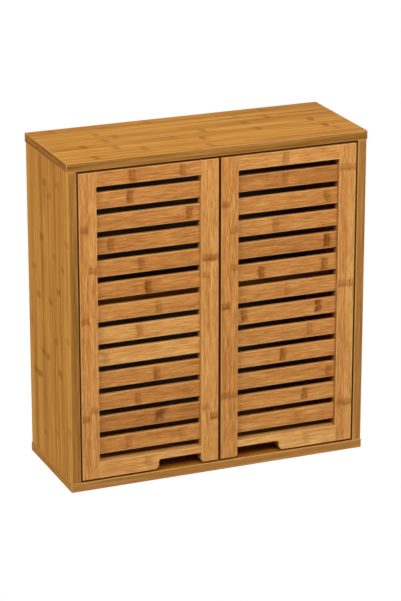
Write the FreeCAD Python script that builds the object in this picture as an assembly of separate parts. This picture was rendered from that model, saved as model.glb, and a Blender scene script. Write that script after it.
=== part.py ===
import FreeCAD, Part
import os

from FreeCAD import Vector

# Wall-mounted bathroom cabinet in laminated bamboo. A box of boards is held together by cam locks
# and dowels, and two slatted doors turn on hidden pivot pins between its top and bottom panels.
# Sizes are in millimetres. X runs to the right, Y from the door fronts to the wall and Z up.
# The origin lies on the wall, midway between the two wall screws.

# Carcass boards
WIDTH = 520.0  # over the ends of the top and bottom panels
HEIGHT = 555.0
DEPTH = 200.0  # from the wall to the door fronts
BOARD = 15.0  # thickness of the top, bottom and side panels
END_OVERHANG = 1.5  # top and bottom panels past the side panels
BOARD_EASE = 1.0  # rounding of the boards' open edges

# Back panel, let into a rabbet all round
BACK_T = 3.0
BACK_LAP = 7.0  # width of the rabbet

# Hanging rail under the top panel, which takes the two wall screws
HANG_RAIL_H = 60.0
HANG_RAIL_T = 15.0
WALL_HOLE_SPACING = 400.0
WALL_HOLE_D = 5.5
RAIL_DOWEL_D = 6.0
RAIL_DOWEL_IN_SIDE = 8.0
RAIL_DOWEL_IN_RAIL = 16.0
RAIL_DOWEL_EDGE = 12.0  # from the rail's long edges

# Dowels and cam locks in the corner joints
EDGE_TO_DOWEL = 30.0  # from the front and rear edges of the boards
DOWEL_TO_CAM = 32.0
DOWEL_D = 8.0
DOWEL_IN_SIDE = 20.0
DOWEL_FLOOR = 5.0  # board left over a dowel in the top and bottom panels
CAM_D = 15.0
CAM_FLOOR = 3.0  # board left behind a cam
CAM_REACH = 24.0  # from the joint to the middle of the cam
CAM_SLOT_L = 9.0
CAM_SLOT_W = 1.4
CAM_SLOT_DEPTH = 2.0
BOLT_D = 5.0
BOLT_HEAD_D = 6.5
BOLT_HEAD_L = 5.0
BOLT_FLOOR = 4.0  # board left over a bolt's thread
BOLT_CLEARANCE = 0.5  # round a bolt's head

# Shelf and its supports
SHELF_T = 12.0
SHELF_SETBACK = 40.0  # behind the door fronts
SHELF_CLEARANCE = 0.8  # at the ends and the back
PIN_HOLE_D = 5.0
PIN_HOLE_DEPTH = 9.0
PIN_HOLE_PITCH = 32.0
PIN_HOLES_EACH_WAY = 2  # above and below the hole in use
PIN_ROW_INSET = 28.0  # from the shelf's front and rear edges
SUPPORT_W = 12.0
SUPPORT_H = 12.0
SUPPORT_LEDGE = 11.0
SUPPORT_T = 1.6

# Screws of the back panel, whose thread and driver slot the catch's screws share
SCREW_D = 3.0
SCREW_BITE = 12.0  # thread in the board
SCREW_HEAD_D = 6.0
SCREW_HEAD_H = 1.6
SCREW_SLOT_L = 3.4
SCREW_SLOT_W = 0.7
SCREW_SLOT_DEPTH = 0.9
BACK_SCREW_INSET = 55.0  # from the corners of the space inside to the nearest screws

# Door frames
DOOR_T = 18.0
HINGE_GAP = 3.0
MEETING_GAP = 4.5
END_GAP = 3.5  # above and below the doors
STILE_W = 30.0
TOP_RAIL_H = 24.5
BOTTOM_RAIL_H = 28.0
DOOR_EASE = 1.0  # rounding of the frame's edges
RAIL_TENON_L = 10.0
RAIL_TENON_T = 6.0
RAIL_SHOULDER = 3.0  # above and below a rail's tenon

# Finger notch in the bottom rail, beside the meeting stile
NOTCH_W = 75.0
NOTCH_H = 16.5
NOTCH_FOOT_R = 8.5  # where the rail's lower edge turns up into the notch
NOTCH_HEAD_R = 3.5  # where it turns again under the rail
STILE_FOOT_R = 5.5  # lower inner corner of the meeting stile

# Slats
SLAT_COUNT = 12
SLAT_GAP = 10.7
SLAT_END_GAP = 11.5  # above the first slat and below the last one
SLAT_T = 7.0
SLAT_SETBACK = 6.5  # behind the frame's face
SLAT_EASE = 1.0
SLAT_TENON_L = 8.0
SLAT_SHOULDER = 1.5  # round a slat's tenon

# Pivots
PIVOT_INSET = 13.0  # from the door's hinge edge
PIVOT_SETBACK = 7.5  # behind the door front
PIVOT_D = 5.0
PIVOT_CLEARANCE = 0.05  # radial, in the bush
PIVOT_IN_STILE = 20.0
PIVOT_END_PLAY = 0.5  # over the pins, and over the doors
BUSH_D = 9.0
BUSH_FLANGE_D = 12.0
BUSH_FLANGE_T = 1.2
BUSH_COLLAR_D = 10.0  # stands between the panel and the end of the door
BUSH_FLOOR = 4.0  # board left over a bush
BUSH_END_T = 1.5

# Magnetic catch under the top panel, and the strike plates on the doors
STRIKE_W = 20.0
STRIKE_H = 11.0
STRIKE_T = 1.2
STRIKE_DROP = 1.0  # below the top of the door
STRIKE_SCREW_D = 2.6
STRIKE_SCREW_HEAD_D = 5.0
STRIKE_SCREW_BITE = 9.0
STRIKE_SLOT_L = 2.6
MAGNET_W = 18.0
MAGNET_H = 8.0
MAGNET_L = 10.0
MAGNET_PROUD = 0.8
CATCH_WALL = 2.5  # round the magnets
CATCH_EASE = 1.0
LUG_L = 10.0
LUG_T = 4.0
LUG_HOLE_D = 3.4
CATCH_SCREW_HEAD_D = 6.0
CATCH_SCREW_HEAD_H = 2.0
CATCH_SCREW_FLOOR = 5.0  # board left over a catch screw

# Planes of the carcass
FRONT = -DEPTH
INNER_TOP = HANG_RAIL_H / 2
TOP = INNER_TOP + BOARD
BOTTOM = TOP - HEIGHT
INNER_BOTTOM = BOTTOM + BOARD
END_X = WIDTH / 2
SIDE_OUT = END_X - END_OVERHANG
SIDE_IN = SIDE_OUT - BOARD
SIDE_MID = (SIDE_OUT + SIDE_IN) / 2

# Each corner joint's height, and the way from there into the side panel
CORNERS = ((INNER_TOP, -1), (INNER_BOTTOM, 1))
DOWEL_YS = (FRONT + EDGE_TO_DOWEL, -EDGE_TO_DOWEL)
CAM_YS = (FRONT + EDGE_TO_DOWEL + DOWEL_TO_CAM, -EDGE_TO_DOWEL - DOWEL_TO_CAM)

# Shelf and the holes that carry it
SHELF_LOW = (INNER_TOP + INNER_BOTTOM - SHELF_T) / 2
SHELF_FRONT = FRONT + SHELF_SETBACK
SHELF_REAR = -BACK_T - SHELF_CLEARANCE
PIN_ROWS = (SHELF_FRONT + PIN_ROW_INSET, SHELF_REAR - PIN_ROW_INSET)
PIN_Z = SHELF_LOW - (SUPPORT_T + SUPPORT_H) / 2

# Left door: its outline, the light that the slats fill, and its pivot axis
DOOR_LEFT = HINGE_GAP - SIDE_IN
DOOR_RIGHT = -MEETING_GAP / 2
DOOR_TOP = INNER_TOP - END_GAP
DOOR_BOTTOM = INNER_BOTTOM + END_GAP
DOOR_BACK = FRONT + DOOR_T
LIGHT_LEFT = DOOR_LEFT + STILE_W
LIGHT_RIGHT = DOOR_RIGHT - STILE_W
LIGHT_TOP = DOOR_TOP - TOP_RAIL_H
LIGHT_BOTTOM = DOOR_BOTTOM + BOTTOM_RAIL_H
SLAT_H = (LIGHT_TOP - LIGHT_BOTTOM - 2 * SLAT_END_GAP - (SLAT_COUNT - 1) * SLAT_GAP) / SLAT_COUNT
SLAT_LOWS = [LIGHT_BOTTOM + SLAT_END_GAP + step * (SLAT_H + SLAT_GAP) for step in range(SLAT_COUNT)]
SLAT_LOWS.reverse()  # the first slat is the top one
NOTCH_TOP = DOOR_BOTTOM + NOTCH_H
PIVOT_X = DOOR_LEFT + PIVOT_INSET
PIVOT_Y = FRONT + PIVOT_SETBACK
BUSH_L = BOARD - BUSH_FLOOR
BORE_DEPTH = BUSH_L - BUSH_END_T
JOURNAL_L = BORE_DEPTH - PIVOT_END_PLAY

# Catch: the magnets face the strike plates, at the middle of the meeting stiles
MAGNET_X = (MEETING_GAP + STILE_W) / 2
MAGNET_Z = DOOR_TOP - STRIKE_DROP - STRIKE_H / 2
MAGNET_FRONT = DOOR_BACK + STRIKE_T
STRIKE_MIDDLE = Vector(-MAGNET_X, MAGNET_FRONT, MAGNET_Z)
CATCH_FRONT = MAGNET_FRONT + MAGNET_PROUD
CATCH_REAR = MAGNET_FRONT + MAGNET_L + CATCH_WALL
CATCH_HALF = MAGNET_X + MAGNET_W / 2 + CATCH_WALL
CATCH_LOW = MAGNET_Z - MAGNET_H / 2 - CATCH_WALL


def board(x, y, z):
    """Square-edged block between three pairs of planes."""
    low = Vector(min(x), min(y), min(z))
    return Part.makeBox(abs(x[1] - x[0]), abs(y[1] - y[0]), abs(z[1] - z[0]), low)


def rod(diameter, start, end):
    """Round rod between two points, or the hole that takes it."""
    return Part.makeCylinder(diameter / 2, (end - start).Length, start, end - start)


def turned(base, direction, corners):
    """Turned piece: corners of its half profile are (diameter, distance along the direction)."""
    start = Vector(0, 0, corners[0][1])
    profile = [Vector(diameter / 2, 0, distance) for diameter, distance in corners]
    end = Vector(0, 0, corners[-1][1])
    face = Part.Face(Part.makePolygon([start] + profile + [end, start]))
    solid = face.revolve(Vector(), Vector(0, 0, 1), 360)
    turn = FreeCAD.Rotation(Vector(0, 0, 1), direction)
    return solid.transformed(FreeCAD.Placement(base, turn).toMatrix(), True)


def near(a, b):
    return abs(a - b) < 1e-6


def crossed(screw, middle, sink, length, width):
    """Cut a cross slot for a driver into a head, sunk along the vector from the head's middle."""
    axes = [axis for axis in (Vector(1, 0, 0), Vector(0, 1, 0), Vector(0, 0, 1)) if near(axis.dot(sink), 0)]
    bars = []
    for along, across in (axes, axes[::-1]):
        half = along * (length / 2) + across * (width / 2)
        low = middle - half
        high = middle + half + sink
        bars.append(board((low.x, high.x), (low.y, high.y), (low.z, high.z)))
    return whole(screw.cut(bars))


def eased(shape, radius, chosen):
    """Round the edges whose middle point is chosen."""
    picked = []
    for edge in shape.Edges:
        first, last = edge.ParameterRange
        if chosen(edge.valueAt((first + last) / 2)):
            picked.append(edge)
    return shape.makeFillet(radius, picked)


def whole(shape):
    """The one solid that cuts and joins have left."""
    return shape.removeSplitter().Solids[0]


def mirrored(shape):
    """The right-hand twin of a left-hand piece."""
    return shape.mirror(Vector(), Vector(1, 0, 0))


def corner_dowels():
    """Dowels between the side panels and the top and bottom panels."""
    dowels = []
    for x in (-SIDE_MID, SIDE_MID):
        for z, way in CORNERS:
            for y in DOWEL_YS:
                start = Vector(x, y, z - way * (BOARD - DOWEL_FLOOR))
                dowels.append(rod(DOWEL_D, start, Vector(x, y, z + way * DOWEL_IN_SIDE)))
    return dowels


def rail_dowels():
    """Dowels between the side panels and the ends of the hanging rail."""
    y = -BACK_T - HANG_RAIL_T / 2
    dowels = []
    for side in (-1, 1):
        for z in (INNER_TOP - HANG_RAIL_H + RAIL_DOWEL_EDGE, INNER_TOP - RAIL_DOWEL_EDGE):
            start = Vector(side * (SIDE_IN - RAIL_DOWEL_IN_RAIL), y, z)
            dowels.append(rod(RAIL_DOWEL_D, start, Vector(side * (SIDE_IN + RAIL_DOWEL_IN_SIDE), y, z)))
    return dowels


def cam_places():
    """Side, depth, joint height and way into the side panel of each cam lock."""
    return [(side, y, z, way) for side in (-1, 1) for z, way in CORNERS for y in CAM_YS]


def cam_bolt(side, y, z, way):
    """Bolt screwed into the top or bottom panel; its head sits in the cam's throat."""
    grip = BOARD - BOLT_FLOOR
    neck = grip + CAM_REACH - BOLT_HEAD_L / 2
    corners = [(BOLT_D, 0), (BOLT_D, neck), (BOLT_HEAD_D, neck), (BOLT_HEAD_D, neck + BOLT_HEAD_L)]
    return turned(Vector(side * SIDE_MID, y, z - way * grip), Vector(0, 0, way), corners)


def bolt_thread_hole(side, y, z, way):
    start = Vector(side * SIDE_MID, y, z - way * (BOARD - BOLT_FLOOR))
    return rod(BOLT_D, start, Vector(side * SIDE_MID, y, z))


def bolt_bore(side, y, z, way):
    """Way for the bolt, through the end of the side panel and into the cam."""
    reach = CAM_REACH + BOLT_HEAD_L / 2 + BOLT_CLEARANCE
    start = Vector(side * SIDE_MID, y, z)
    return rod(BOLT_HEAD_D + 2 * BOLT_CLEARANCE, start, Vector(side * SIDE_MID, y, z + way * reach))


def cam_seat(side, y, z, way):
    """Round hole for a cam in a side panel's inner face."""
    mid = z + way * CAM_REACH
    return rod(CAM_D, Vector(side * SIDE_IN, y, mid), Vector(side * (SIDE_OUT - CAM_FLOOR), y, mid))


def cam_lock(side, y, z, way):
    """Cam with a cross slot for the driver and a throat for the bolt's head."""
    mid = z + way * CAM_REACH
    drum = cam_seat(side, y, z, way).cut(bolt_bore(side, y, z, way))
    sink = Vector(side * CAM_SLOT_DEPTH, 0, 0)
    return crossed(drum, Vector(side * SIDE_IN, y, mid), sink, CAM_SLOT_L, CAM_SLOT_W)


def back_screw_heads():
    """Middle of each back screw's head, on the wall side of the back panel."""
    lap = BACK_LAP / 2
    x = SIDE_IN - BACK_SCREW_INSET
    middle = (INNER_TOP + INNER_BOTTOM) / 2
    heights = (INNER_TOP - HANG_RAIL_H - lap, middle, INNER_BOTTOM + BACK_SCREW_INSET)
    heads = [(a, z) for z in (INNER_TOP + lap, INNER_BOTTOM - lap) for a in (-x, 0, x)]
    heads += [(side * (SIDE_IN + lap), z) for side in (-1, 1) for z in heights]
    return [Vector(a, 0, z) for a, z in heads]


def back_screw(head):
    """Countersunk screw through the back panel into the edge of a board, or its hole."""
    corners = [(SCREW_HEAD_D, 0), (SCREW_D, SCREW_HEAD_H), (SCREW_D, BACK_T + SCREW_BITE)]
    return turned(head, Vector(0, -1, 0), corners)


def slotted_back_screw(head):
    return crossed(back_screw(head), head, Vector(0, -SCREW_SLOT_DEPTH, 0), SCREW_SLOT_L, SCREW_SLOT_W)


def bush_places():
    """Foot of each pivot bush on a panel's inner face, and the way into the panel."""
    return [(Vector(x, PIVOT_Y, z), -way) for x in (PIVOT_X, -PIVOT_X) for z, way in CORNERS]


def bush_seat(foot, way):
    """Stepped hole for a bush; the flange lies flush with the panel."""
    corners = [(BUSH_FLANGE_D, 0), (BUSH_FLANGE_D, BUSH_FLANGE_T)]
    corners += [(BUSH_D, BUSH_FLANGE_T), (BUSH_D, BUSH_L)]
    return turned(foot, Vector(0, 0, way), corners)


def pivot_bush(foot, way):
    """Bush whose collar fills the gap at the end of the door; the lower ones carry the doors."""
    play = PIVOT_END_PLAY if way > 0 else 0
    tip = foot - Vector(0, 0, way * (END_GAP - play))
    bore = rod(PIVOT_D + 2 * PIVOT_CLEARANCE, tip, foot + Vector(0, 0, way * BORE_DEPTH))
    return whole(bush_seat(foot, way).fuse(rod(BUSH_COLLAR_D, tip, foot)).cut(bore))


def catch_screw_places():
    """Where the catch's screws enter the top panel."""
    x = CATCH_HALF + LUG_L / 2
    return [Vector(a, (CATCH_FRONT + CATCH_REAR) / 2, INNER_TOP) for a in (-x, x)]


def catch_screw(place):
    """Pan-head screw up through a lug into the top panel, or its hole there."""
    lug = CATCH_SCREW_HEAD_H + LUG_T
    end = lug + BOARD - CATCH_SCREW_FLOOR
    corners = [(CATCH_SCREW_HEAD_D, 0), (CATCH_SCREW_HEAD_D, CATCH_SCREW_HEAD_H)]
    corners += [(SCREW_D, CATCH_SCREW_HEAD_H), (SCREW_D, end)]
    return turned(place - Vector(0, 0, lug), Vector(0, 0, 1), corners)


def slotted_catch_screw(place):
    head = place - Vector(0, 0, CATCH_SCREW_HEAD_H + LUG_T)
    return crossed(catch_screw(place), head, Vector(0, 0, SCREW_SLOT_DEPTH), SCREW_SLOT_L, SCREW_SLOT_W)


def panel(low, high, rabbet):
    """Top or bottom panel, eased on its open edges, rabbeted at the rear and drilled."""
    ease = min(BOARD_EASE, END_OVERHANG)
    body = board((-END_X, END_X), (FRONT, 0), (low, high))
    body = eased(body, ease, lambda p: near(p.y, FRONT) or near(abs(p.x), END_X) and not near(p.y, 0))
    holes = [board((-SIDE_IN - BACK_LAP, SIDE_IN + BACK_LAP), (-BACK_T, 0), rabbet)]
    holes += corner_dowels()
    holes += [bolt_thread_hole(*place) for place in cam_places()]
    holes += [bush_seat(*place) for place in bush_places()]
    holes += [back_screw(head) for head in back_screw_heads()]
    holes += [catch_screw(place) for place in catch_screw_places()]
    return whole(body.cut(holes))


def left_side_panel():
    """Side panel between the top and bottom panels, drilled for all its fittings."""
    body = board((-SIDE_OUT, -SIDE_IN), (FRONT, 0), (INNER_BOTTOM, INNER_TOP))
    body = eased(body, BOARD_EASE, lambda p: near(p.y, FRONT) and INNER_BOTTOM < p.z < INNER_TOP)
    holes = [board((-SIDE_IN - BACK_LAP, -SIDE_IN), (-BACK_T, 0), (INNER_BOTTOM, INNER_TOP))]
    holes += corner_dowels() + rail_dowels()
    holes += [cam_seat(*place) for place in cam_places()]
    holes += [bolt_bore(*place) for place in cam_places()]
    holes += [back_screw(head) for head in back_screw_heads()]
    for y in PIN_ROWS:
        for step in range(-PIN_HOLES_EACH_WAY, PIN_HOLES_EACH_WAY + 1):
            mouth = Vector(-SIDE_IN, y, PIN_Z + step * PIN_HOLE_PITCH)
            holes.append(rod(PIN_HOLE_D, mouth, mouth - Vector(PIN_HOLE_DEPTH, 0, 0)))
    return whole(body.cut(holes))


def wall_holes():
    """Clearance holes for the wall screws, through the hanging rail and the back panel."""
    front = -BACK_T - HANG_RAIL_T
    places = (-WALL_HOLE_SPACING / 2, WALL_HOLE_SPACING / 2)
    return [rod(WALL_HOLE_D, Vector(x, front, 0), Vector(x, 0, 0)) for x in places]


def back_panel():
    """Thin sheet flush with the rear edges of the boards."""
    x = SIDE_IN + BACK_LAP
    body = board((-x, x), (-BACK_T, 0), (INNER_BOTTOM - BACK_LAP, INNER_TOP + BACK_LAP))
    return whole(body.cut(wall_holes() + [back_screw(head) for head in back_screw_heads()]))


def hanging_rail():
    front = -BACK_T - HANG_RAIL_T
    low = INNER_TOP - HANG_RAIL_H
    body = board((-SIDE_IN, SIDE_IN), (front, -BACK_T), (low, INNER_TOP))
    body = eased(body, BOARD_EASE, lambda p: near(p.y, front) and near(p.z, low))
    return whole(body.cut(wall_holes() + rail_dowels()))


def shelf():
    half = SIDE_IN - SHELF_CLEARANCE
    body = board((-half, half), (SHELF_FRONT, SHELF_REAR), (SHELF_LOW, SHELF_LOW + SHELF_T))
    return eased(body, BOARD_EASE, lambda p: near(p.y, SHELF_FRONT) and abs(p.x) < half)


def shelf_support(side, y):
    """Angle plate with a ledge under the shelf and a stud in the side panel."""
    wall = side * SIDE_IN
    inner = side * (SIDE_IN - SUPPORT_T)
    width = (y - SUPPORT_W / 2, y + SUPPORT_W / 2)
    plate = board((inner, wall), width, (SHELF_LOW - SUPPORT_H, SHELF_LOW))
    ledge = board((side * (SIDE_IN - SUPPORT_LEDGE), inner), width, (SHELF_LOW - SUPPORT_T, SHELF_LOW))
    stud = rod(PIN_HOLE_D, Vector(wall, y, PIN_Z), Vector(wall + side * PIN_HOLE_DEPTH, y, PIN_Z))
    return whole(plate.fuse([ledge, stud]))


def catch_magnet(side):
    x = (side * MAGNET_X - MAGNET_W / 2, side * MAGNET_X + MAGNET_W / 2)
    y = (MAGNET_FRONT, MAGNET_FRONT + MAGNET_L)
    return board(x, y, (MAGNET_Z - MAGNET_H / 2, MAGNET_Z + MAGNET_H / 2))


def catch_housing():
    """Moulded body round both magnets, with a screw lug at each end under the top panel."""
    depth = (CATCH_FRONT, CATCH_REAR)
    tip = CATCH_HALF + LUG_L
    body = board((-CATCH_HALF, CATCH_HALF), depth, (CATCH_LOW, INNER_TOP))
    body = eased(body, CATCH_EASE, lambda p: near(p.z, CATCH_LOW))
    lugs = board((-tip, tip), depth, (INNER_TOP - LUG_T, INNER_TOP))
    lugs = eased(lugs, CATCH_EASE, lambda p: near(abs(p.x), tip) and not CATCH_FRONT < p.y < CATCH_REAR)
    holes = [rod(LUG_HOLE_D, place, place - Vector(0, 0, LUG_T)) for place in catch_screw_places()]
    return whole(body.fuse(lugs).cut(holes + [catch_magnet(-1), catch_magnet(1)]))


def slat_tenons(low):
    """Tenons of the slat at this height, which are also their mortises."""
    y = (FRONT + SLAT_SETBACK + SLAT_SHOULDER, FRONT + SLAT_SETBACK + SLAT_T - SLAT_SHOULDER)
    z = (low + SLAT_SHOULDER, low + SLAT_H - SLAT_SHOULDER)
    ends = ((LIGHT_LEFT - SLAT_TENON_L, LIGHT_LEFT), (LIGHT_RIGHT, LIGHT_RIGHT + SLAT_TENON_L))
    return [board(x, y, z) for x in ends]


def slat(low):
    """Slat with rounded long edges and a tenon at each end."""
    y = (FRONT + SLAT_SETBACK, FRONT + SLAT_SETBACK + SLAT_T)
    body = board((LIGHT_LEFT, LIGHT_RIGHT), y, (low, low + SLAT_H))
    body = eased(body, SLAT_EASE, lambda p: LIGHT_LEFT < p.x < LIGHT_RIGHT)
    return whole(body.fuse(slat_tenons(low)))


def rail_tenons(low, high, low_at_meeting):
    """Tenons of a rail, which are also their mortises; the notch lowers the one beside it."""
    mid = FRONT + DOOR_T / 2
    y = (mid - RAIL_TENON_T / 2, mid + RAIL_TENON_T / 2)
    hinge_end = (LIGHT_LEFT - RAIL_TENON_L, LIGHT_LEFT)
    meeting_end = (LIGHT_RIGHT, LIGHT_RIGHT + RAIL_TENON_L)
    ends = ((hinge_end, low), (meeting_end, low_at_meeting))
    return [board(x, y, (foot + RAIL_SHOULDER, high - RAIL_SHOULDER)) for x, foot in ends]


def frame_tenons():
    """All the tenons that enter the left door's stiles."""
    tenons = rail_tenons(LIGHT_TOP, DOOR_TOP, LIGHT_TOP)
    tenons += rail_tenons(DOOR_BOTTOM, LIGHT_BOTTOM, NOTCH_TOP)
    for low in SLAT_LOWS:
        tenons += slat_tenons(low)
    return tenons


def on_rail_face(p):
    """A point on a rail's front outline, off the joints with the stiles."""
    return near(p.y, FRONT) and LIGHT_LEFT < p.x < LIGHT_RIGHT


def top_rail():
    body = board((LIGHT_LEFT, LIGHT_RIGHT), (FRONT, DOOR_BACK), (LIGHT_TOP, DOOR_TOP))
    return whole(eased(body, DOOR_EASE, on_rail_face).fuse(rail_tenons(LIGHT_TOP, DOOR_TOP, LIGHT_TOP)))


def bottom_rail():
    """Rail whose lower edge sweeps up in a double curve to the finger notch."""
    foot = min(NOTCH_FOOT_R, 0.6 * NOTCH_H)
    head = min(NOTCH_HEAD_R, 0.3 * NOTCH_H)
    wall = LIGHT_RIGHT - NOTCH_W
    bulge = 0.5 ** 0.5

    def at(x, z):
        return Vector(x, FRONT, z)

    foot_start = at(wall - foot, DOOR_BOTTOM)
    foot_mid = at(wall - foot + bulge * foot, DOOR_BOTTOM + foot - bulge * foot)
    foot_end = at(wall, DOOR_BOTTOM + foot)
    head_start = at(wall, NOTCH_TOP - head)
    head_mid = at(wall + head - bulge * head, NOTCH_TOP - head + bulge * head)
    head_end = at(wall + head, NOTCH_TOP)
    edges = [Part.Arc(foot_start, foot_mid, foot_end), Part.LineSegment(foot_end, head_start)]
    edges += [Part.Arc(head_start, head_mid, head_end)]
    rest = [head_end, at(LIGHT_RIGHT, NOTCH_TOP), at(LIGHT_RIGHT, LIGHT_BOTTOM)]
    rest += [at(LIGHT_LEFT, LIGHT_BOTTOM), at(LIGHT_LEFT, DOOR_BOTTOM), foot_start]
    edges += [Part.LineSegment(start, end) for start, end in zip(rest, rest[1:])]
    body = Part.Face(Part.Wire([edge.toShape() for edge in edges])).extrude(Vector(0, DOOR_T, 0))
    body = eased(body, DOOR_EASE, on_rail_face)
    return whole(body.fuse(rail_tenons(DOOR_BOTTOM, LIGHT_BOTTOM, NOTCH_TOP)))


def inner_arris(x, way):
    """Rounding tool for a stile's front edge along the slats, with the stile on the given side."""
    z = (LIGHT_BOTTOM, LIGHT_TOP)
    corner = board((x, x + way * DOOR_EASE), (FRONT, FRONT + DOOR_EASE), z)
    core_x = x + way * DOOR_EASE
    core_y = FRONT + DOOR_EASE
    return corner.cut(rod(2 * DOOR_EASE, Vector(core_x, core_y, z[0]), Vector(core_x, core_y, z[1])))


def pivot_pin(way):
    """Upper pin, way 1, or lower pin, way -1: from its hole in the hinge stile into the bush."""
    door_end = DOOR_TOP if way > 0 else DOOR_BOTTOM
    start = Vector(PIVOT_X, PIVOT_Y, door_end - way * PIVOT_IN_STILE)
    return rod(PIVOT_D, start, start + Vector(0, 0, way * (PIVOT_IN_STILE + END_GAP + JOURNAL_L)))


def hinge_stile():
    """Stile that carries the pivot pins in its ends."""
    body = board((DOOR_LEFT, LIGHT_LEFT), (FRONT, DOOR_BACK), (DOOR_BOTTOM, DOOR_TOP))

    def open_edge(p):
        on_front = near(p.y, FRONT) and p.x < LIGHT_LEFT
        return on_front or near(p.x, DOOR_LEFT) and near(p.y, DOOR_BACK)

    body = eased(body, DOOR_EASE, open_edge)
    pins = [pivot_pin(1), pivot_pin(-1)]
    return whole(body.cut(pins + frame_tenons() + [inner_arris(LIGHT_LEFT, -1)]))


def strike_screw():
    """Countersunk screw through the strike plate into the stile, or its hole."""
    end = STRIKE_T + STRIKE_SCREW_BITE
    corners = [(STRIKE_SCREW_HEAD_D, 0), (STRIKE_SCREW_D, STRIKE_T), (STRIKE_SCREW_D, end)]
    return turned(STRIKE_MIDDLE, Vector(0, -1, 0), corners)


def slotted_strike_screw():
    sink = Vector(0, -SCREW_SLOT_DEPTH, 0)
    return crossed(strike_screw(), STRIKE_MIDDLE, sink, STRIKE_SLOT_L, SCREW_SLOT_W)


def strike_plate():
    x = (-MAGNET_X - STRIKE_W / 2, -MAGNET_X + STRIKE_W / 2)
    z = (MAGNET_Z - STRIKE_H / 2, MAGNET_Z + STRIKE_H / 2)
    return whole(board(x, (DOOR_BACK, MAGNET_FRONT), z).cut(strike_screw()))


def meeting_stile():
    """Stile beside the other door; its foot is rounded where the finger notch begins."""
    body = board((LIGHT_RIGHT, DOOR_RIGHT), (FRONT, DOOR_BACK), (DOOR_BOTTOM, DOOR_TOP))
    body = eased(body, STILE_FOOT_R, lambda p: near(p.x, LIGHT_RIGHT) and near(p.z, DOOR_BOTTOM))

    def open_edge(p):
        on_front = near(p.y, FRONT) and p.x > LIGHT_RIGHT
        return on_front or near(p.x, DOOR_RIGHT) and near(p.y, DOOR_BACK)

    body = eased(body, DOOR_EASE, open_edge)
    return whole(body.cut(frame_tenons() + [strike_screw(), inner_arris(LIGHT_RIGHT, 1)]))


# Carcass, with its fittings as groups of like pieces
pieces = {
    "top_panel": [panel(INNER_TOP, TOP, (INNER_TOP, INNER_TOP + BACK_LAP))],
    "bottom_panel": [panel(BOTTOM, INNER_BOTTOM, (INNER_BOTTOM - BACK_LAP, INNER_BOTTOM))],
    "left_side_panel": [left_side_panel()],
    "right_side_panel": [mirrored(left_side_panel())],
    "back_panel": [back_panel()],
    "hanging_rail": [hanging_rail()],
    "shelf": [shelf()],
    "corner_dowels": corner_dowels(),
    "rail_dowels": rail_dowels(),
    "cam_bolts": [cam_bolt(*place) for place in cam_places()],
    "cam_locks": [cam_lock(*place) for place in cam_places()],
    "shelf_supports": [shelf_support(side, y) for side in (-1, 1) for y in PIN_ROWS],
    "back_screws": [slotted_back_screw(head) for head in back_screw_heads()],
    "pivot_bushes": [pivot_bush(*place) for place in bush_places()],
    "catch_housing": [catch_housing()],
    "catch_magnets": [catch_magnet(-1), catch_magnet(1)],
    "catch_screws": [slotted_catch_screw(place) for place in catch_screw_places()],
}

# Left door, and its mirror image on the right
door = {
    "hinge_stile": hinge_stile(),
    "meeting_stile": meeting_stile(),
    "top_rail": top_rail(),
    "bottom_rail": bottom_rail(),
    "top_pivot_pin": pivot_pin(1),
    "bottom_pivot_pin": pivot_pin(-1),
    "strike_plate": strike_plate(),
    "strike_screw": slotted_strike_screw(),
}
for number, low in enumerate(SLAT_LOWS, 1):
    door[f"slat_{number:02d}"] = slat(low)
for name, solid in door.items():
    pieces["left_" + name] = [solid]
    pieces["right_" + name] = [mirrored(solid)]

os.makedirs("parts", exist_ok=True)
for name, solids in pieces.items():
    shape = solids[0] if len(solids) == 1 else Part.makeCompound(solids)
    shape.exportStep(f"parts/{name}.step")
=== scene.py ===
import math
import bpy
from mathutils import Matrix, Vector


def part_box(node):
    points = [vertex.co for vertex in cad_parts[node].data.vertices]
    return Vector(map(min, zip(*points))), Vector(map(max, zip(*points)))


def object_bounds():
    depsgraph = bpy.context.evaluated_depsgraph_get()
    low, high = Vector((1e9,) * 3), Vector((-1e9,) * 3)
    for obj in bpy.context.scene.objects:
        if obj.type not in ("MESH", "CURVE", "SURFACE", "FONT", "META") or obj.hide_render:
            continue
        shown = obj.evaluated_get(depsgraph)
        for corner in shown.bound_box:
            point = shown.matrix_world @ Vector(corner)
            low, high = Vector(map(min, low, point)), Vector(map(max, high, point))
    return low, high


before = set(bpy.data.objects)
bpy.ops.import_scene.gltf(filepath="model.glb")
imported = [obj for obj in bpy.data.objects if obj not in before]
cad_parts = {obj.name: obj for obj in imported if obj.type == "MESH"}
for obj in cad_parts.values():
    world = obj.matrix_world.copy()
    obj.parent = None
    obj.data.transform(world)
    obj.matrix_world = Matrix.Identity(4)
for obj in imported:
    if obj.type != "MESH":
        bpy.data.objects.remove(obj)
cad_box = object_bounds()


# Side panels: two upright boards of bamboo strips glued edge to edge, grain standing, sanded and
# lacquered satin. Cams and dowels hold them between the top and the bottom panel.

def seen(red, green, blue):
    """A colour as the eye reads it on the object, 0 to 255, in the scale that shaders use."""
    def straight(level):
        share = level / 255
        if share <= 0.04045:
            return share / 12.92
        return ((share + 0.055) / 1.055) ** 2.4
    return (straight(red), straight(green), straight(blue), 1.0)


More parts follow.
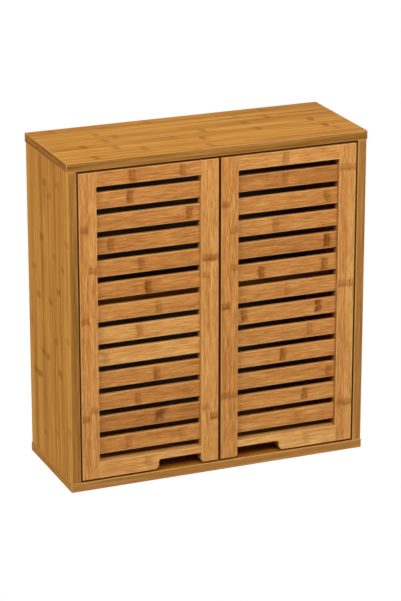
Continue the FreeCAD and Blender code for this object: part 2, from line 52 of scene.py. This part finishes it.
class Wire:
    """One output in a finish. Sums and products of wires add the Math nodes that work them out."""

    def __init__(self, finish, socket):
        self.finish = finish
        self.socket = socket

    def maths(self, operation, *others):
        values = dict(enumerate((self, *others)))
        return self.finish.node("ShaderNodeMath", {"operation": operation}, values)

    def turned(self, operation, first):
        return self.finish.node("ShaderNodeMath", {"operation": operation}, {0: first, 1: self})

    def __add__(self, other):
        return self.maths("ADD", other)

    def __radd__(self, other):
        return self.turned("ADD", other)

    def __sub__(self, other):
        return self.maths("SUBTRACT", other)

    def __rsub__(self, other):
        return self.turned("SUBTRACT", other)

    def __mul__(self, other):
        return self.maths("MULTIPLY", other)

    def __rmul__(self, other):
        return self.turned("MULTIPLY", other)

    def __truediv__(self, other):
        return self.maths("DIVIDE", other)

    def __rtruediv__(self, other):
        return self.turned("DIVIDE", other)

    def __gt__(self, other):
        return self.maths("GREATER_THAN", other)

    def __lt__(self, other):
        return self.maths("LESS_THAN", other)

    def __abs__(self):
        return self.maths("ABSOLUTE")

    def floor(self):
        return self.maths("FLOOR")

    def smaller(self, other):
        return self.maths("MINIMUM", other)

    def larger(self, other):
        return self.maths("MAXIMUM", other)

    def hump(self, width):
        """1 where this wire is zero, falling off like a bell over that width to each side."""
        return (self * self * (-1 / width ** 2)).maths("EXPONENT")

    def rise(self, start, end):
        """0 up to start, 1 from end on, with a soft step between them."""
        settings = {"interpolation_type": "SMOOTHSTEP", "clamp": True}
        values = {"Value": self, "From Min": start, "From Max": end, "To Min": 0.0, "To Max": 1.0}
        return self.finish.node("ShaderNodeMapRange", settings, values)

    def unless(self, mask, other):
        """This wire where mask is 0, and the other one where it is 1."""
        return self + mask * (other - self)


class Finish:
    """The nodes of a material, or of the world, worked out in the object's own metres."""

    def __init__(self, holder):
        self.holder = holder
        holder.use_nodes = True
        self.tree = holder.node_tree
        self.tree.nodes.clear()

    def node(self, kind, settings=None, sockets=None, output=0):
        made = self.tree.nodes.new(kind)
        for setting, value in (settings or {}).items():
            if setting == "stops":
                marks = made.color_ramp.elements
                while len(marks) < len(value):
                    marks.new(1.0)
                for mark, (position, colour) in zip(marks, value):
                    mark.position = position
                    mark.color = colour
            else:
                setattr(made, setting, value)
        for name, value in (sockets or {}).items():
            if isinstance(value, Wire):
                self.tree.links.new(value.socket, made.inputs[name])
            else:
                made.inputs[name].default_value = value
        return Wire(self, made.outputs[output]) if made.outputs else None

    def split(self, vector):
        return [self.node("ShaderNodeSeparateXYZ", None, {0: vector}, axis) for axis in range(3)]

    def point(self, x, y, z=0.0):
        return self.node("ShaderNodeCombineXYZ", None, {0: x, 1: y, 2: z})

    def place(self):
        """Where a point of the surface is, in CAD metres, as three wires named x, y and z."""
        spot = self.node("ShaderNodeTexCoord", None, None, "Object")
        return dict(zip("xyz", self.split(spot)))

    def facing(self):
        """How far the surface faces along x, y and z, from 0 to 1."""
        normal = self.node("ShaderNodeTexCoord", None, None, "Normal")
        return dict(zip("xyz", [abs(part) for part in self.split(normal)]))

    def noise(self, x, y, z=0.0, detail=2.0, rough=0.5):
        values = {"Vector": self.point(x, y, z), "Scale": 1.0, "Detail": detail, "Roughness": rough}
        return self.node("ShaderNodeTexNoise", {"noise_dimensions": "3D"}, values)

    def chance(self, x, y):
        """Three numbers from 0 to 1 that stay the same wherever x and y are the same."""
        drawn = self.node("ShaderNodeTexWhiteNoise", {"noise_dimensions": "2D"},
                          {"Vector": self.point(x, y)}, "Color")
        return self.split(drawn)

    def ramp(self, share, stops):
        return self.node("ShaderNodeValToRGB", {"stops": stops}, {0: share})

    def mix(self, share, first, second):
        first_colour, second_colour, mixed_colour = 6, 7, 2
        values = {0: share, first_colour: first, second_colour: second}
        return self.node("ShaderNodeMix", {"data_type": "RGBA"}, values, mixed_colour)

    def surface(self, colour, roughness, height, depth, **plain):
        """Ends the finish in one shader, with height as a relief that is depth metres deep. What is in
        plain is the same all over the surface."""
        relief = self.node("ShaderNodeBump", None, {"Strength": 0.6, "Distance": depth, "Height": height})
        values = {"Base Color": colour, "Roughness": roughness, "Normal": relief}
        values.update({name.replace("_", " "): value for name, value in plain.items()})
        shader = self.node("ShaderNodeBsdfPrincipled", None, values)
        self.node("ShaderNodeOutputMaterial", None, {"Surface": shader})
        return self.holder


def dress(name, material):
    """Gives a CAD node this material and no other."""
    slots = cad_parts[name].data.materials
    slots.clear()
    slots.append(material)


def knuckle_marks(finish, along, across, seed):
    """The scar round a bamboo cane where a leaf grew, as two masks: a brown patch and its dark bars."""
    most_lean, most_jag = 0.01, 0.004
    patch_core, patch_reach, fringe_reach = 0.002, 0.0085, 0.012
    dark_place, dark_width = -0.0034, 0.0026
    pale_place, pale_width = 0.0036, 0.0028
    breaks = across * 260

    lean = finish.noise(across * 60, seed, 0.3) - 0.5
    jag = finish.noise(across * 420, along * 60, seed + 1.7) - 0.5
    step = along + lean * most_lean + jag * most_jag
    mottle = finish.noise(along * 160, across * 210, seed + 5.1).rise(0.34, 0.62)
    patch = (1 - abs(step).rise(patch_core, patch_reach)) * (mottle * 0.3 + 0.65)
    fringe = finish.noise(along * 60, across * 900, seed + 7.7).rise(0.45, 0.7)
    patch = patch.larger(step.hump(fringe_reach) * fringe * 0.45)
    dark_bar = (step - dark_place).hump(dark_width) * finish.noise(breaks, seed + 8.3).rise(0.26, 0.5)
    pale_bar = (step - pale_place).hump(pale_width) * finish.noise(breaks, seed + 9.9).rise(0.32, 0.62)
    return patch, dark_bar + pale_bar * 0.6


def bamboo(name, node, grain, strips, width, shades, tone, spread, seed,
           knuckles=(), spacing=None, cut=0.0, painted_edge_shade=0.0, painted_inside_shade=0.0, reach=1.6, bud=None):
    """Bamboo strips along grain, side by side along strips, with cut metres sawn off the first one.
    With no width the piece is one strip. knuckles lists (strip, place, strength); with spacing, each
    strip has one every so many metres. reach is how much of a strip's width a knuckle takes up.
    The edge and inside shade arguments paint shade: the first darkens the long edges, the second the face
    that looks into the cabinet. A bud has left a dark star at the place that bud gives along and across the
    strip."""
    plies, saw_margin, glue_line = 3, 0.03, (0.0001, 0.0005)
    squarely, skin = 0.7, 0.001
    bend_reach, most_bend = 0.022, 0.005
    vein_depth, joint_depth, dash_depth, patch_depth = 0.18, 0.16, 0.12, 0.8
    highlight_width, highlight_strength = (0.0003, 0.0018), 0.65
    finish = Finish(bpy.data.materials.new(name))
    place = finish.place()
    facing = finish.facing()
    through = [axis for axis in "xyz" if axis not in (grain, strips)][0]
    low, high = (dict(zip("xyz", corner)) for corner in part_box(node))
    ply = (high[through] - low[through]) / plies
    middle = sum(corner["xyz".index(through)] for corner in cad_box) / 2
    inner_face = low[through] if low[through] > middle else high[through]
    if width is None:
        cut = (high[strips] - low[strips]) * saw_margin
        width = high[strips] - low[strips] + 2 * cut

    on_end = facing[grain] > squarely
    on_edge = facing[strips] > squarely
    on_side = on_edge.larger(on_end)
    # Painted shade: the face that looks into the cabinet is darkened, as the inside lies in shade.
    shaded_inside = (1 - on_side) * (abs(place[through] - inner_face) < skin)
    along = place[grain].unless(on_end, place[strips])
    across = place[strips].unless(on_side, place[through])
    strip_at = (place[strips] - (low[strips] - cut)) / width
    ply_at = (place[through] - low[through]) / ply
    at = strip_at.unless(on_side, ply_at)
    number = at.floor()
    first_ply_number = 50
    own = finish.chance(number + on_side * first_ply_number, seed)
    share = at - number
    from_joint = share.smaller(1 - share) * (on_side * (ply - width) + width)
    joint = 1 - from_joint.rise(*glue_line)

    if spacing:
        most_shift, most_drift, strongest = 9, 0.7, 0.75
        turn = along / spacing + own[0] * most_shift
        cell = turn.floor()
        cast = finish.chance(cell, number + seed)
        offset = (turn - cell - 0.5 - (cast[0] - 0.5) * most_drift) * spacing
        strength = cast[1].rise(0.15, 0.9) * strongest
    else:
        def away(strip, spot):
            """How far along a knuckle is, or metres off on the strips that it isn't on."""
            metres_off = 9
            return along - spot + (1 - number.maths("COMPARE", strip, 0.1)) * metres_off

        strip, spot, strength = knuckles[0]
        offset = away(strip, spot)
        for strip, spot, weight in knuckles[1:]:
            other = away(strip, spot)
            nearer = abs(other) < abs(offset)
            offset = offset.unless(nearer, other)
            strength = nearer * (weight - strength) + strength
    near = (1 - on_side) * offset.hump(bend_reach)
    sway = (finish.noise(along * 70, across * 160, seed + 2.2) - 0.5) * near * most_bend
    bent = across + sway
    cane_length = 23
    start = (along + own[0] * cane_length) / shades["length"]

    def lines(along_a_metre, across_a_metre, shift, **detail):
        """Noise drawn out along the grain, with so many changes in a metre each way."""
        return finish.noise(start * along_a_metre, bent * across_a_metre, seed + shift, **detail)

    broad = lines(8, 100, 0.7)
    streak = lines(36, 380, 1.9)
    fibre = lines(110, 1250, 3.1, detail=3.0, rough=0.6)
    dash = lines(90, 2600, 4.3).rise(0.56, 0.72)
    vein = lines(26, 560, 6.4).rise(0.54, 0.74)
    knuckle_seed = (along - offset) * 40 + seed
    patch, bars = knuckle_marks(finish, offset, bent, knuckle_seed)
    from_middle = abs(share - 0.5 - (own[2] - 0.5) * max(0.0, 1 - reach))
    scar = (1 - on_side) * strength * (1 - from_middle.rise(reach * 0.34, reach * 0.62))
    mark = scar * bars

    figure = [(part - 0.5) * depth for part, depth in zip((broad, streak, fibre), shades["figure"])]
    shade = own[1] * spread + (tone - spread / 2) + sum(figure) + vein * vein_depth
    shade = shade + joint * joint_depth + dash * dash_depth
    # End faces are darkened partly for their darker end grain and partly as painted shade where they lie in
    # the reveals.
    colour = finish.ramp(shade + shaded_inside * painted_inside_shade + on_end * shades["end_grain_and_shade"], shades["stops"])
    # Edges darken further by the edge shade: painted shade on edges that lie in the reveals or away from
    # the light.
    edge = finish.ramp(shade + painted_edge_shade, shades["edge_stops"])
    colour = finish.mix(on_edge, colour, edge)
    colour = finish.mix(scar * patch * patch_depth, colour, shades["scar"])
    colour = finish.mix(mark * shades["bar_depth"], colour, shades["bar"])
    if bud:
        eye, shortest_ray, ray_growth, ray_count = 0.001, 0.003, 0.05, 1.7
        aside, above = along - bud[0], across - bud[1]
        from_bud = (aside * aside + above * above).maths("SQRT") + 0.0001
        rays = finish.noise(aside / from_bud * ray_count, above / from_bud * ray_count, seed + 8.8)
        star = (1 - from_bud.rise(eye, rays * rays * ray_growth + shortest_ray)) * (1 - on_side)
        colour = finish.mix(star * (fibre * 0.5 + 0.5), colour, shades["bud"])

    # Arrises get a pale band: partly wear of the lacquer, partly a painted highlight along the edges.
    gaps = [(place[axis] - low[axis]).smaller(high[axis] - place[axis]) for axis in "xyz"]
    arris = gaps[0].smaller(gaps[1]).larger(gaps[0].larger(gaps[1]).smaller(gaps[2]))
    wear_and_highlight = (1 - arris.rise(*highlight_width)) * (broad + fibre * 0.5 - 0.2) * highlight_strength
    colour = finish.mix(wear_and_highlight, colour, shades["wear_and_highlight"])

    roughness = 0.44 + streak * 0.12 + mark * 0.15 - wear_and_highlight * 0.08
    height = fibre * 0.5 - dash * 0.6 - joint * 0.8 - mark * 0.7
    return finish.surface(colour, roughness, height, depth=0.00012, Specular_IOR_Level=0.02)


board_shades = {
    "stops": [(0.0, seen(226, 167, 79)), (0.35, seen(206, 144, 59)),
              (0.65, seen(181, 117, 42)), (1.0, seen(138, 84, 25))],
    "edge_stops": [(0.0, seen(194, 144, 86)), (0.5, seen(164, 113, 56)), (1.0, seen(118, 76, 16))],
    "scar": seen(146, 84, 16),
    "bar": seen(112, 60, 10),
    "bar_depth": 0.06,
    # pale arris colour: partly wear, partly painted highlight
    "wear_and_highlight": seen(228, 184, 112),
    "figure": (0.9, 0.75, 0.35),
    "length": 2.6,
    # end faces: darker end grain plus painted shade
    "end_grain_and_shade": 0.42,
}
board_strip = 0.02
left_knuckles = [
    (0, -0.089, 0.4), (0, -0.253, 0.4), (0, -0.408, 0.4), (1, -0.139, 0.5), (2, -0.004, 0.5),
    (2, -0.182, 0.8), (2, -0.320, 0.8), (3, -0.127, 0.6), (3, -0.272, 0.6), (3, -0.431, 0.5),
    (4, -0.031, 0.6), (4, -0.211, 0.7), (5, -0.015, 0.7), (5, -0.311, 0.8), (6, -0.110, 0.9),
    (6, -0.308, 0.8), (6, -0.452, 0.5), (7, -0.215, 0.7), (7, -0.355, 0.9), (8, -0.172, 0.5),
    (8, -0.353, 0.9), (9, -0.272, 0.4),
]
# The left side panel's front edge carries painted shade, and both side panels' inner faces painted shade.
dress("left_side_panel", bamboo("left_side_bamboo", "left_side_panel", "z", "y", board_strip,
                                board_shades, tone=0.45, spread=0.22, seed=11.0,
                                knuckles=left_knuckles, painted_edge_shade=0.2, painted_inside_shade=0.6))
dress("right_side_panel", bamboo("right_side_bamboo", "right_side_panel", "z", "y", board_strip,
                                 board_shades, tone=0.45, spread=0.22, seed=12.0,
                                 spacing=0.19, painted_inside_shade=0.6))


# Top and bottom panels: the same board laid with the grain across, running over the side panels
# and standing a hair past them. Their edges show the plies, a shade browner than the faces.

top_strip, top_cut = 0.021, 0.014
top_knuckles = [
    (1, -0.205, 0.8), (1, -0.010, 0.6), (2, -0.115, 0.7), (2, 0.223, 0.5), (3, -0.154, 0.7),
    (3, -0.004, 0.8), (3, 0.212, 0.9), (4, -0.202, 0.8), (4, -0.049, 0.4), (4, 0.100, 0.7),
    (5, -0.157, 0.6), (5, 0.012, 0.7), (5, 0.204, 0.9), (6, -0.132, 0.6), (6, 0.094, 0.6),
    (7, -0.159, 0.6), (7, 0.142, 0.7), (8, 0.098, 0.4), (9, -0.217, 0.4), (9, -0.054, 0.4),
    (9, 0.153, 0.5),
]
# The top's front edge and inner face carry painted shade, as does the bottom's inner face.
dress("top_panel", bamboo("top_bamboo", "top_panel", "x", "y", top_strip, board_shades,
                          tone=0.48, spread=0.2, seed=21.0, knuckles=top_knuckles, cut=top_cut,
                          painted_edge_shade=0.23, painted_inside_shade=0.3))
bottom_shades = {**board_shades, "end_grain_and_shade": 0.1}
dress("bottom_panel", bamboo("bottom_bamboo", "bottom_panel", "x", "y", top_strip, bottom_shades,
                             tone=0.44, spread=0.2, seed=22.0, spacing=0.2, painted_inside_shade=0.38))


# Dowels: plain turned beech pegs, left bare for the glue. Thicker ones join the side panels to the top
# and the bottom panel, and thinner ones the hanging rail to the side panels.

def beech(name, seed):
    finish = Finish(bpy.data.materials.new(name))
    place = finish.place()
    rings = finish.noise(place["x"] * 900, place["y"] * 900, place["z"] * 900 + seed)
    pores = finish.noise(place["x"] * 300, place["y"] * 2600, place["z"] * 2600).rise(0.55, 0.7)
    colour = finish.ramp(rings - pores * 0.2, [(0.25, seen(196, 156, 108)), (0.75, seen(226, 194, 148))])
    return finish.surface(colour, 0.62 + rings * 0.12, rings - pores, depth=0.0001)


for pegs, seed in (("corner_dowels", 1.0), ("rail_dowels", 2.0)):
    dress(pegs, beech(pegs + "_beech", seed))


# Cam bolts and cam locks: plated steel studs in the top and bottom panels, and die-cast zinc drums
# in the side panels that pull them in with half a turn.

def plated(name, base, light, seed, roughness):
    """Metal that is cloudy and finely scratched, between two shades of the plating or casting."""
    finish = Finish(bpy.data.materials.new(name))
    place = finish.place()
    cloud = finish.noise(place["x"] * 240, place["y"] * 240, place["z"] * 240 + seed, 3.0)
    scratch = finish.noise(place["x"] * 2200, place["y"] * 2200, place["z"] * 300 + seed)
    colour = finish.ramp(cloud + (scratch - 0.5) * 0.3, [(0.3, base), (0.7, light)])
    shine = roughness + cloud * 0.14 + (scratch - 0.5) * 0.1
    return finish.surface(colour, shine, scratch, depth=0.00004, Metallic=1.0)


dress("cam_bolts", plated("stud_plating", seen(150, 148, 142), seen(198, 197, 190),
                          seed=1.0, roughness=0.22))
dress("cam_locks", plated("cam_casting", seen(124, 123, 122), seen(160, 160, 160),
                          seed=2.0, roughness=0.42))


# Hanging rail: a length of the same bamboo board under the top panel, doweled between the side panels.
# The two holes are for the wall screws that carry the cabinet.

dress("hanging_rail", bamboo("rail_bamboo", "hanging_rail", "x", "z", board_strip, board_shades,
                             tone=0.46, spread=0.2, seed=31.0, spacing=0.24))


# Back: a sheet of hardboard let into the rabbets of the carcass. Its smooth face looks into the cabinet and
# is coloured dark, a stain that doubles as painted shade inside, and the raw rear keeps the weave of the
# wire mesh it was pressed on. Small countersunk plated screws hold it round the rim.

def hardboard(name, node, seed):
    finish = Finish(bpy.data.materials.new(name))
    place = finish.place()
    skin, mesh_pitch = 0.0005, 0.0016
    rear = place["y"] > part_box(node)[1].y - skin
    wires = [(place[axis] * (2 * math.pi / mesh_pitch)).maths("SINE") for axis in "xz"]
    weave = wires[0] * wires[1]
    cloud = finish.noise(place["x"] * 26, place["z"] * 26, seed, 3.0)
    felt = finish.noise(place["x"] * 900, place["z"] * 700, seed + 1.0, 3.0)
    fleck = finish.noise(place["x"] * 2100, place["z"] * 1400, seed + 2.0).rise(0.6, 0.72)
    shade = cloud * 0.5 + felt * 0.5 - fleck * 0.3
    stain_and_shade = finish.ramp(shade,
                          [(0.2, seen(56, 38, 24)), (0.5, seen(76, 54, 36)), (0.8, seen(94, 69, 47))])
    raw = finish.ramp(shade * 1.4 - 0.2 + weave * 0.1,
                      [(0.15, seen(88, 61, 40)), (0.5, seen(116, 83, 56)), (0.85, seen(140, 104, 73))])
    colour = finish.mix(rear, stain_and_shade, raw)
    roughness = 0.5 + felt * 0.15 + rear * 0.2
    height = felt - fleck + rear * weave * 0.8
    return finish.surface(colour, roughness, height, depth=0.00008, Specular_IOR_Level=0.25)


dress("back_panel", hardboard("back_hardboard", "back_panel", seed=3.0))
dress("back_screws", plated("back_screw_plating", seen(168, 160, 132), seen(206, 200, 176),
                            seed=3.0, roughness=0.25))


# Shelf: a thinner board of the same bamboo strips, painted a shade browner and darkest along its edges:
# painted shade for a board that lies inside behind the slats. It lies loose on four plated pins that are
# pushed into holes in the side panels.

shelf_shades = {
    **board_shades,
    "edge_stops": [(0.0, seen(170, 120, 66)), (0.5, seen(134, 89, 46)), (1.0, seen(94, 59, 29))],
}
dress("shelf", bamboo("shelf_bamboo", "shelf", "x", "y", board_strip, shelf_shades,
                      tone=0.7, spread=0.2, seed=41.0, spacing=0.22, painted_edge_shade=0.3))
dress("shelf_supports", plated("pin_plating", seen(160, 158, 152), seen(204, 203, 198),
                               seed=4.0, roughness=0.2))


# Door frames: stiles and rails of paler bamboo, tenoned and glued. A stile shows two strips, and
# the notch beside each meeting stile takes the fingers.

door_shades = {
    "stops": [(0.0, seen(224, 177, 110)), (0.35, seen(204, 148, 82)),
              (0.65, seen(181, 119, 60)), (1.0, seen(142, 88, 41))],
    "edge_stops": [(0.0, seen(222, 174, 106)), (0.5, seen(194, 136, 72)), (1.0, seen(142, 88, 40))],
    "scar": seen(142, 76, 24),
    "bar": seen(104, 54, 16),
    "bar_depth": 0.62,
    "bud": seen(88, 44, 20),
    # pale arris colour: partly wear, partly painted highlight
    "wear_and_highlight": seen(228, 184, 118),
    "figure": (0.5, 0.9, 0.6),
    "length": 1.0,
    # end faces: darker end grain plus painted shade, so the stile ends stay dark in the top reveal
    "end_grain_and_shade": 0.5,
}
stile_strip = 0.0151
stile_knuckles = {
    "left_hinge_stile": [(0, -0.067, 0.6), (1, -0.135, 0.6), (0, -0.218, 0.6), (0, -0.385, 0.6),
                         (1, -0.372, 0.5)],
    "left_meeting_stile": [(0, -0.137, 0.8), (1, -0.137, 0.9), (0, -0.165, 0.5), (0, -0.394, 0.5),
                           (1, -0.413, 0.8)],
    "right_meeting_stile": [(0, -0.052, 0.7), (1, -0.098, 0.5), (1, -0.161, 0.5), (0, -0.225, 0.9),
                            (0, -0.381, 0.6), (1, -0.381, 0.5)],
    "right_hinge_stile": [(0, -0.012, 0.5), (1, -0.012, 0.6), (0, -0.212, 0.6), (1, -0.212, 0.5),
                          (0, -0.423, 0.6), (1, -0.423, 0.5)],
}
# Each stile has a tone and an amount of painted shade on its long edges, which face the reveals.
stile_tones = {
    "left_hinge_stile": (0.54, 0.0),
    "left_meeting_stile": (0.51, 0.0),
    "right_meeting_stile": (0.57, 0.6),
    "right_hinge_stile": (0.5, 0.3),
}
for seed, (stile, marks) in enumerate(stile_knuckles.items(), 51):
    tone, painted_edge_shade = stile_tones[stile]
    dress(stile, bamboo(stile + "_bamboo", stile, "z", "x", stile_strip, door_shades, tone,
                        spread=0.16, seed=float(seed), knuckles=marks, painted_edge_shade=painted_edge_shade))

left_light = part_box("left_hinge_stile")[1].x
right_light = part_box("right_meeting_stile")[1].x
# The third number paints shade on a rail's edges, strongest on the top rails where they face the top
# reveal.
rails = {
    "left_top_rail": (left_light, 0.57, 0.45, [(0.0605, 0.7), (0.148, 0.6)]),
    "left_bottom_rail": (left_light, 0.42, 0.0, [(0.085, 0.25)]),
    "right_top_rail": (right_light, 0.48, 0.4, [(0.0835, 0.5)]),
    "right_bottom_rail": (right_light, 0.3, 0.0, [(0.126, 0.2)]),
}
for seed, (rail, (start, tone, painted_edge_shade, marks)) in enumerate(rails.items(), 61):
    spots = [(0, start + place, weight) for place, weight in marks]
    dress(rail, bamboo(rail + "_bamboo", rail, "x", "z", None, door_shades, tone, spread=0.1,
                       seed=float(seed), knuckles=spots, painted_edge_shade=painted_edge_shade, reach=0.8))


# Slats: twelve to a door, each one strip of bamboo with its own shade and knuckles, set back from
# the frame and let into mortises in the stiles.

pale, honey, amber, russet, brown = 0.42, 0.53, 0.58, 0.65, 0.73
bud_slat, bud_along, bud_above = "left_slat_11", 0.106, 0.0035
slats = {
    "left": (left_light, 100.0, [
        (amber, [(0.060, 0.95)]), (russet, [(0.159, 0.85)]), (brown, [(0.0255, 0.7)]),
        (russet, [(0.0765, 0.62)]), (russet, [(0.0885, 1.2)]), (russet, [(0.1065, 0.46)]),
        (pale, [(0.073, 0.5)]), (pale, [(0.014, 0.33)]), (amber, [(0.103, 0.75)]),
        (russet, [(0.069, 0.6)]), (brown, [(0.105, 0.4)]), (russet, [(0.0525, 0.45), (0.146, 0.3)]),
    ]),
    "right": (right_light, 200.0, [
        (brown, [(0.0855, 0.37)]), (amber, [(0.1605, 0.65)]), (amber, [(0.0685, 0.52)]),
        (brown, [(0.1615, 1.4)]), (honey, [(0.0435, 1.15), (0.1565, 0.95)]), (amber, [(0.0905, 0.4)]),
        (amber, [(0.014, 0.92), (0.1465, 1.4)]), (amber, [(0.1305, 0.37)]), (honey, [(0.083, 0.97)]),
        (russet, [(0.1675, 0.55)]), (amber, [(0.125, 0.83)]), (amber, [(0.1115, 0.17)]),
    ]),
}
for side, (start, first_seed, strips) in slats.items():
    for count, (tone, marks) in enumerate(strips, 1):
        slat = f"{side}_slat_{count:02d}"
        spots = [(0, start + place, weight) for place, weight in marks]
        low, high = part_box(slat)
        bud = (start + bud_along, (low.z + high.z) / 2 + bud_above) if slat == bud_slat else None
        dress(slat, bamboo(slat + "_bamboo", slat, "x", "z", None, door_shades, tone, spread=0.08,
                           seed=first_seed + count, knuckles=spots, reach=0.8, bud=bud))


# Pivots: plated steel pins in the ends of the hinge stiles turn in brown nylon bushes that are
# pressed into the top and bottom panels.

def nylon(name, base, light, seed):
    finish = Finish(bpy.data.materials.new(name))
    place = finish.place()
    cloud = finish.noise(place["x"] * 160, place["y"] * 160, place["z"] * 160 + seed, 3.0)
    spark = finish.noise(place["x"] * 3800, place["y"] * 3800, place["z"] * 3800 + seed)
    colour = finish.ramp(cloud + (spark - 0.5) * 0.25, [(0.3, base), (0.7, light)])
    roughness = 0.48 + spark * 0.16
    return finish.surface(colour, roughness, spark, depth=0.00006, Specular_IOR_Level=0.08)


# The pin plating is a darker grey than the other steel: painted shade, so the pins stay dark where they
# show in the reveals.
for side in ("left", "right"):
    for end in ("top", "bottom"):
        pin = f"{side}_{end}_pivot_pin"
        dress(pin, plated(pin + "_plating", seen(122, 120, 115), seen(158, 156, 150),
                          seed=5.0, roughness=0.4))
dress("pivot_bushes", nylon("bush_nylon", seen(60, 39, 23), seen(82, 55, 33), seed=1.0))


# Catch: a brown nylon housing with two ferrite magnets, screwed under the top panel, and a plated
# strike plate screwed to the back of each meeting stile.

def ferrite(name):
    finish = Finish(bpy.data.materials.new(name))
    place = finish.place()
    speck = finish.noise(place["x"] * 2400, place["y"] * 2400, place["z"] * 2400, 3.0)
    colour = finish.ramp(speck, [(0.3, seen(44, 44, 47)), (0.7, seen(84, 84, 88))])
    return finish.surface(colour, 0.5 + speck * 0.2, speck, depth=0.00005, Metallic=0.4)


screw_base, screw_light = seen(166, 164, 158), seen(206, 204, 198)
dress("catch_housing", nylon("housing_nylon", seen(74, 50, 31), seen(98, 68, 43), seed=2.0))
dress("catch_magnets", ferrite("magnet_ferrite"))
dress("catch_screws", plated("catch_screw_plating", screw_base, screw_light, seed=6.0, roughness=0.22))
for side in ("left", "right"):
    dress(side + "_strike_plate", plated(side + "_strike_plating", seen(150, 150, 150), seen(196, 196, 196),
                                         seed=7.0, roughness=0.26))
    dress(side + "_strike_screw", plated(side + "_strike_screw_plating", screw_base, screw_light,
                                         seed=8.0, roughness=0.22))


# Floor: a plain pale floor a metre below the cabinet, which hangs on its wall screws. It keeps the
# soft shadow near the cabinet and runs out to white.

floor_drop, floor_reach = 1.0, 14.0
pale_within, white_from = 0.5, 1.3
plain_white = (1.0, 1.0, 1.0, 1.0)
floor_level = cad_box[0].z - floor_drop
corners = [(-floor_reach, -floor_reach, floor_level), (floor_reach, -floor_reach, floor_level),
           (floor_reach, floor_reach, floor_level), (-floor_reach, floor_reach, floor_level)]
floor_mesh = bpy.data.meshes.new("floor")
floor_mesh.from_pydata(corners, [], [(0, 1, 2, 3)])
floor = bpy.data.objects.new("floor", floor_mesh)
bpy.context.scene.collection.objects.link(floor)

paint = Finish(bpy.data.materials.new("floor_paint"))
spot = paint.place()
away = (spot["x"] * spot["x"] + spot["y"] * spot["y"]).maths("SQRT").rise(pale_within, white_from)
seen_by = paint.node("ShaderNodeLightPath", None, None, "Is Camera Ray")
seen_by = seen_by.larger(paint.node("ShaderNodeLightPath", None, None, "Is Glossy Ray"))
matt = paint.node("ShaderNodeBsdfDiffuse", None, {"Color": seen(240, 240, 238)})
white = paint.node("ShaderNodeEmission", None, {"Color": plain_white, "Strength": 1.0})
white_share = seen_by * (away * 0.5 + 0.5)
both = paint.node("ShaderNodeMixShader", None, {0: white_share, 1: matt, 2: white})
paint.node("ShaderNodeOutputMaterial", None, {"Surface": both})
floor_mesh.materials.append(paint.holder)


# Light: soft boxes high in front of the doors, from the left and from behind, and one from below that
# fills the shadows, in an even surround. The surround is white where it is looked at or mirrored, and
# dimmer as a light, so that the finishes keep their colours.

sky = Finish(bpy.data.worlds.new("surround"))
bpy.context.scene.world = sky.holder
watched = sky.node("ShaderNodeLightPath", None, None, "Is Camera Ray")
for ray in ("Is Glossy Ray", "Is Transmission Ray"):
    watched = watched.larger(sky.node("ShaderNodeLightPath", None, None, ray))
even = sky.node("ShaderNodeBackground", None, {"Color": plain_white, "Strength": 0.26})
white = sky.node("ShaderNodeBackground", None, {"Color": plain_white, "Strength": 1.0})
both = sky.node("ShaderNodeMixShader", None, {0: watched, 1: even, 2: white})
sky.node("ShaderNodeOutputWorld", None, {"Surface": both})

lit_middle = Vector((0.0, -0.1, -0.23))


def stand(thing, target, azimuth, elevation, distance):
    """Puts a lamp or the camera at that distance from the target, looking at it with no roll. Azimuth
    counts degrees to the right from straight in front of the doors, and elevation degrees up."""
    turn, lift = math.radians(azimuth), math.radians(elevation)
    back = Vector((math.sin(turn) * math.cos(lift), -math.cos(turn) * math.cos(lift), math.sin(lift)))
    thing.location = target + back * distance
    thing.rotation_mode = "QUATERNION"
    thing.rotation_quaternion = (-back).to_track_quat("-Z", "Y")
    bpy.context.scene.collection.objects.link(thing)


def soft_box(name, size, power, azimuth, elevation, distance):
    data = bpy.data.lights.new(name, "AREA")
    data.shape = "RECTANGLE"
    data.size, data.size_y = size
    data.energy = power
    stand(bpy.data.objects.new(name, data), lit_middle, azimuth, elevation, distance)


soft_box("front_box", size=(1.4, 1.1), power=24.5, azimuth=4, elevation=47, distance=2.0)
soft_box("left_box", size=(1.4, 1.2), power=64, azimuth=-64, elevation=34, distance=3.5)
soft_box("low_box", size=(2.0, 1.4), power=22, azimuth=20, elevation=-20, distance=3.0)
soft_box("rear_box", size=(2.0, 1.2), power=45, azimuth=130, elevation=-8, distance=3.5)


# Camera: a long lens a little over four metres off, to the left of the doors and above them. It looks
# at the middle of the cabinet and is turned with no roll.

focal_pixels, picture_pixels, film_width = 2600, 601, 36
camera_data = bpy.data.cameras.new("camera")
camera_data.lens = focal_pixels * film_width / picture_pixels
camera = bpy.data.objects.new("camera", camera_data)
looked_at = Vector((0.0071, -0.1, -0.246))
stand(camera, looked_at, azimuth=-22.43, elevation=19.04, distance=4.317)
bpy.context.scene.camera = camera
bpy.context.scene.view_settings.view_transform = "Standard"
